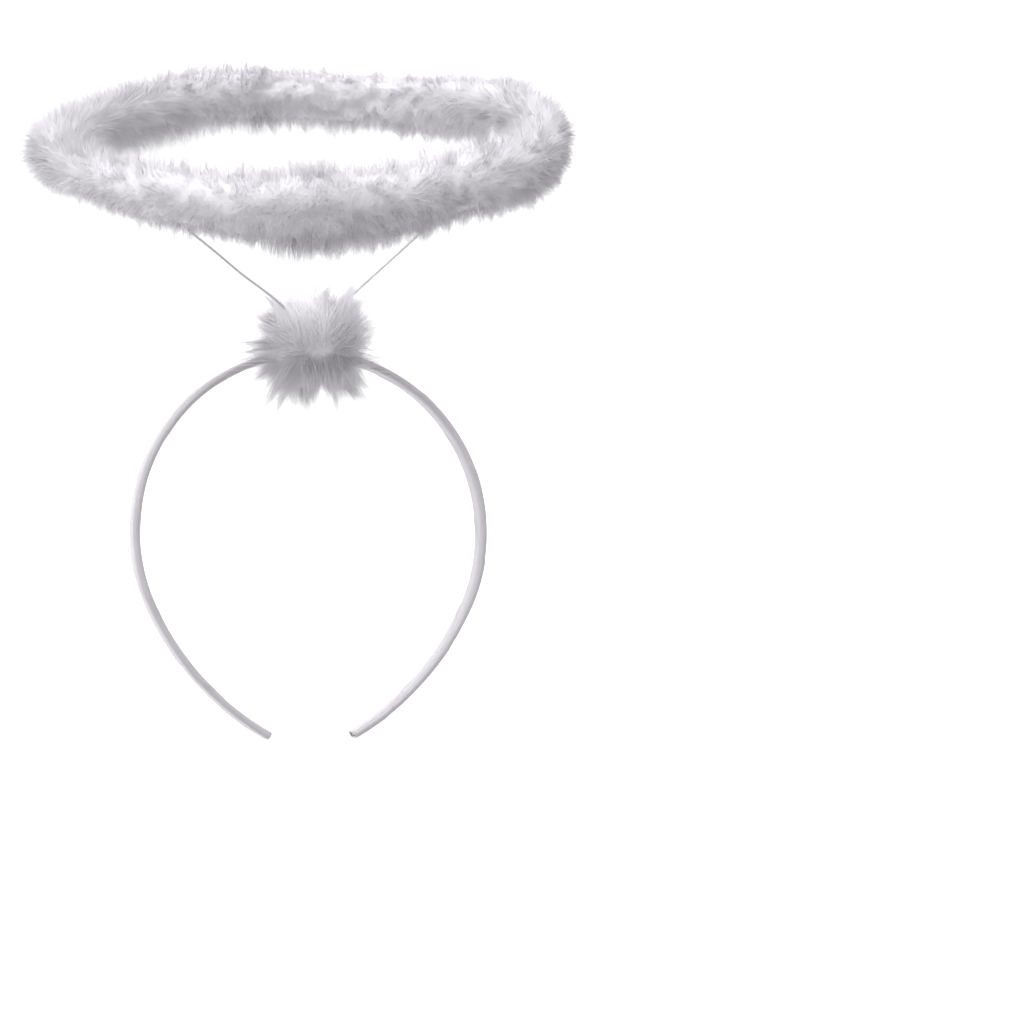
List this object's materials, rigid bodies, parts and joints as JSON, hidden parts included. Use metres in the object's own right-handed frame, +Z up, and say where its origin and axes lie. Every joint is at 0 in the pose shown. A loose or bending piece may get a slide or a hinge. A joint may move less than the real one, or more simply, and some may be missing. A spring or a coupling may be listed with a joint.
{
  "type": "halo headband",
  "caption": "Ribbon-wound headband with a ring of marabou down held above it on a thin wire and a down pompom over the wire's foot.",
  "frame": {"origin": "middle of the footprint, on the surface that the headband lies on", "axes": "the headband lies on its back as it rests by itself: +Y runs along the surface from the band's tips towards the halo, +X to the right seen from the headband's front, +Z up from the surface; the band's own upright line leans 19.9 degrees up from +Y"},
  "size_m": [0.2078, 0.2818, 0.1578],
  "materials": {
    "strip_plastic": "plain moulded strip",
    "satin_ribbon": "white satin, wound on a slant",
    "covered_wire": "white thread wound over wire",
    "marabou_down": "fluffy white marabou down"
  },
  "bodies": {
    "root": {"band_core": "strip_plastic", "ribbon_wrap": "satin_ribbon", "halo_wire": "covered_wire", "halo_boa": "marabou_down", "pompom": "marabou_down"}
  },
  "joints": []
}
